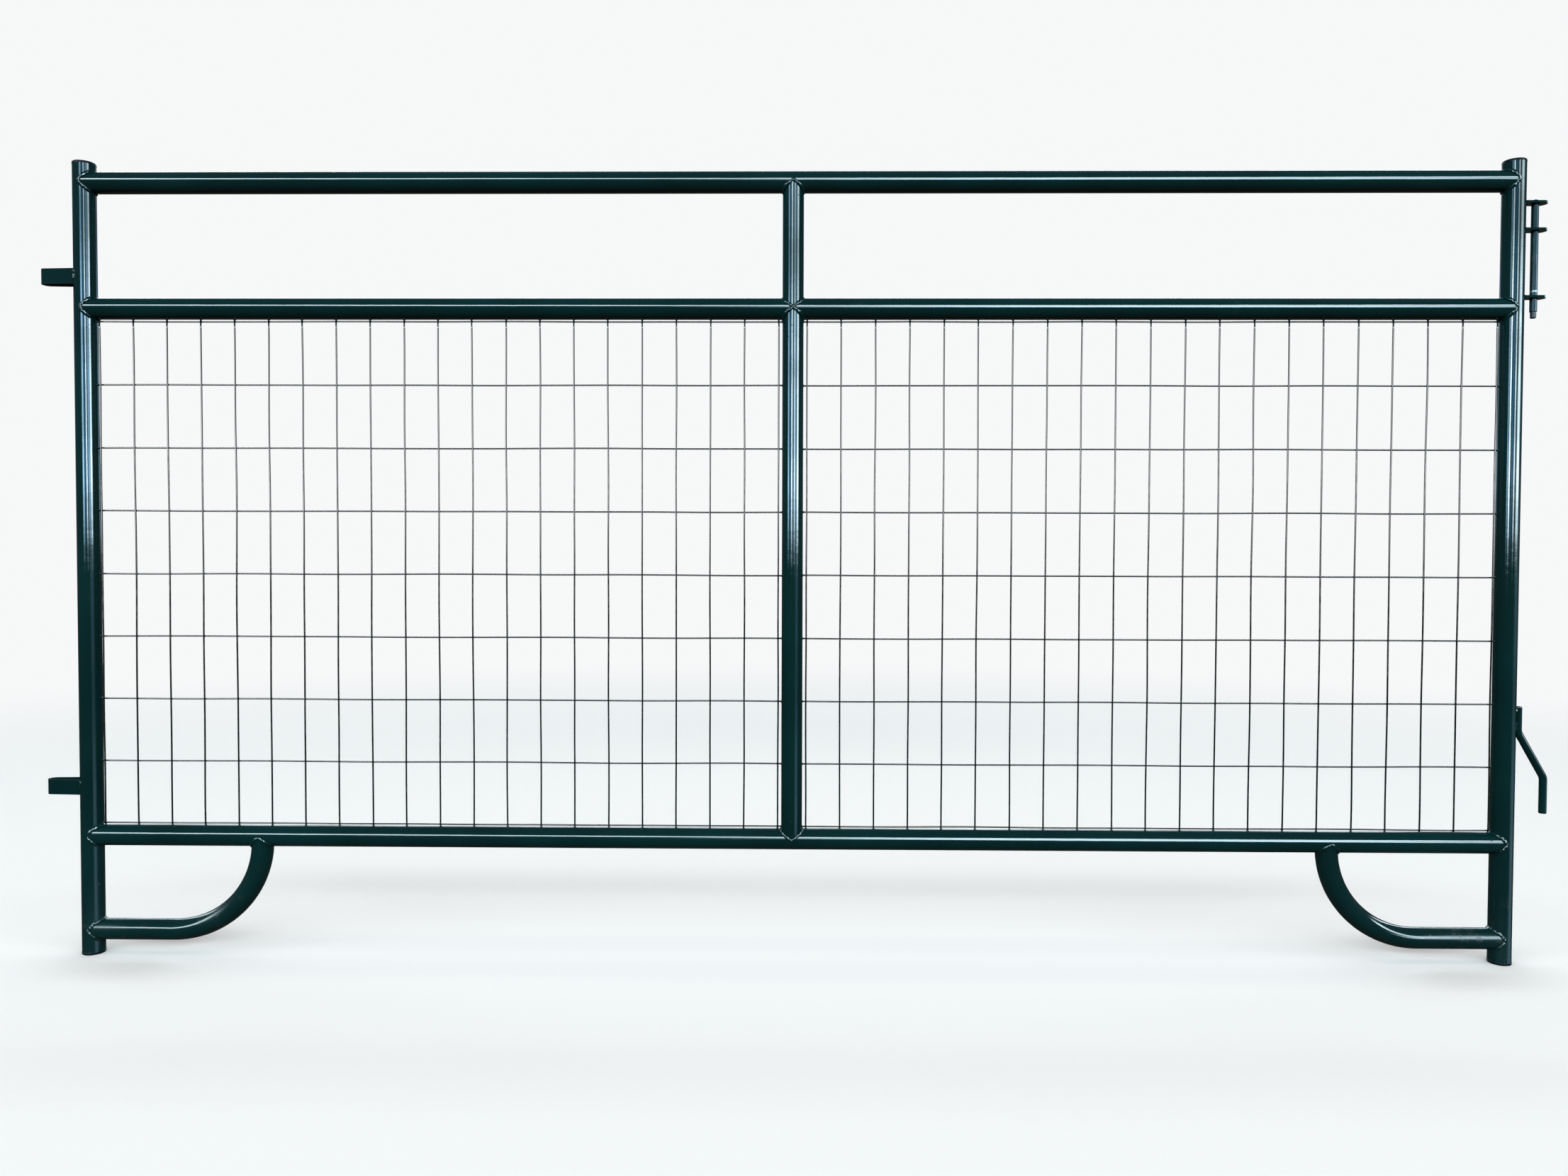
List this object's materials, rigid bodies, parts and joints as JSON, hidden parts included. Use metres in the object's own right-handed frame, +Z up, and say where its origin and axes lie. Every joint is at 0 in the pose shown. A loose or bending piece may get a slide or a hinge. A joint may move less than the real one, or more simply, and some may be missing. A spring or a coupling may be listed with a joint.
{
  "type": "livestock panel gate",
  "caption": "Round-tube livestock panel with welded wire infill, bow feet, coupling loops at one end and a drop-pin latch and hook at the other.",
  "frame": {"origin": "on the ground, at the middle of the panel's length, in the frame's mid plane", "axes": "+X along the panel from the loop side to the latch side, +Y to the rear, +Z up"},
  "size_m": [3.188, 0.0452, 1.6844],
  "materials": {
    "frame_tube": "gloss dark blue-green powder coat",
    "wire": "gloss dark powder coat on steel wire",
    "latch_pin": "gloss dark powder coat, rubbed where it slides",
    "end_cap": "satin black plastic"
  },
  "bodies": {
    "frame": {"left_post": "frame_tube", "left_post_top_cap": "end_cap", "left_post_foot_cap": "end_cap", "left_foot_bow": "frame_tube", "left_upright_wires": "wire", "left_level_wires": "wire", "right_post": "frame_tube", "right_post_top_cap": "end_cap", "right_post_foot_cap": "end_cap", "right_foot_bow": "frame_tube", "right_upright_wires": "wire", "right_level_wires": "wire", "top_rail": "frame_tube", "middle_rail": "frame_tube", "bottom_rail": "frame_tube", "upper_stile": "frame_tube", "lower_stile": "frame_tube", "upper_loop": "frame_tube", "lower_loop": "frame_tube", "top_latch_plate": "frame_tube", "middle_latch_plate": "frame_tube", "lower_latch_plate": "frame_tube", "hook_rod": "frame_tube"},
    "latch_pin": {"latch_pin": "latch_pin"}
  },
  "joints": [
    {"name": "pin_lift", "type": "slide", "parent": "frame", "child": "latch_pin", "axis": [0, 0, 1], "range_m": [0, 0.165]}
  ]
}
